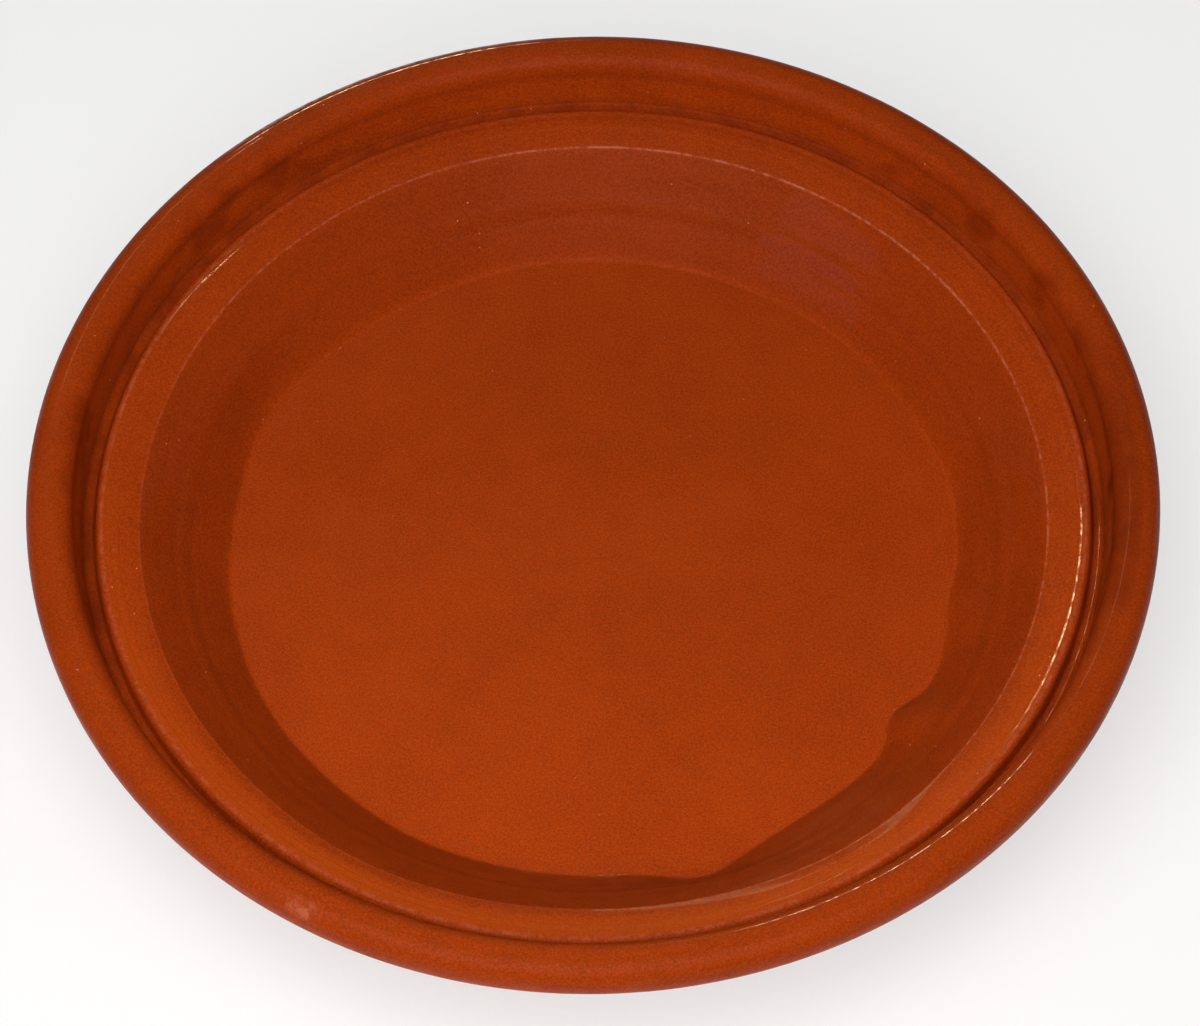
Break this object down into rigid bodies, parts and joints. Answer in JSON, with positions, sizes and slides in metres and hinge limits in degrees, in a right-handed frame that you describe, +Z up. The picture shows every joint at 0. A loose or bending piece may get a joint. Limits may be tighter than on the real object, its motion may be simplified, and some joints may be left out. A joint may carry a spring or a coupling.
{
  "type": "tagine base dish",
  "caption": "Round glazed clay cooking dish with a shallow flat-floored well, a sloping ledge and groove for a conical lid, a thick rolled rim and a bare turned foot.",
  "frame": {"origin": "centre of the surface that the dish stands on", "axes": "+Z up along the axis that the dish was thrown about; the dish is round, so +X is free"},
  "size_m": [0.3, 0.3, 0.0533],
  "materials": {
    "bare_clay": "matte low-fired red clay, bare below the glaze line, with fine turning marks",
    "brown_glaze": "glossy clear glaze over red clay, orange-brown, darker on steep walls and in the groove"
  },
  "bodies": {
    "root": {"clay_body": "bare_clay", "glaze_coat": "brown_glaze"}
  },
  "joints": []
}
